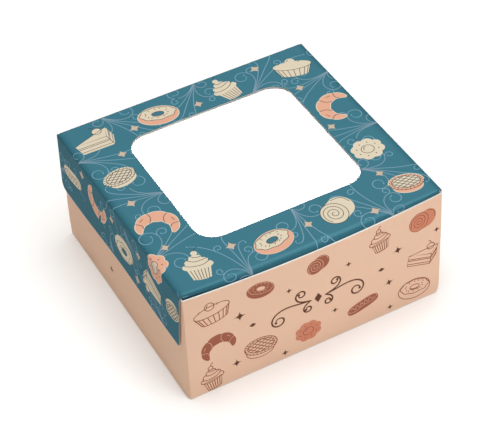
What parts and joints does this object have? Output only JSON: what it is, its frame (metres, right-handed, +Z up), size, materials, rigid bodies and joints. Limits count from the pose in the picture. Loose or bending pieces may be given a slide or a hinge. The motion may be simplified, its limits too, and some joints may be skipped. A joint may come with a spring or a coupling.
{
  "type": "pastry box",
  "caption": "Square folding pastry box in printed paperboard: a tray with a hinged lid, a clear rounded window, outside side flaps and a tuck-in front.",
  "frame": {"origin": "middle of the box's bounding box, on the plane of its underside", "axes": "+Z up, +X to the right along the front, -Y out of the front wall, +Y towards the hinged rear edge"},
  "size_m": [0.155, 0.1506, 0.0735],
  "materials": {
    "tray_board": "satin varnished print outside, uncoated white inside",
    "lid_board": "satin varnished print outside, uncoated white inside",
    "window_film": "clear gloss film"
  },
  "bodies": {
    "tray": {"tray": "tray_board"},
    "lid": {"lid": "lid_board", "window_film": "window_film"}
  },
  "joints": [
    {"name": "lid_hinge", "type": "hinge", "parent": "tray", "child": "lid", "pos_m": [0, 0.07505, 0.07325], "axis": [-1, 0, 0], "range_deg": [0, 175]}
  ]
}
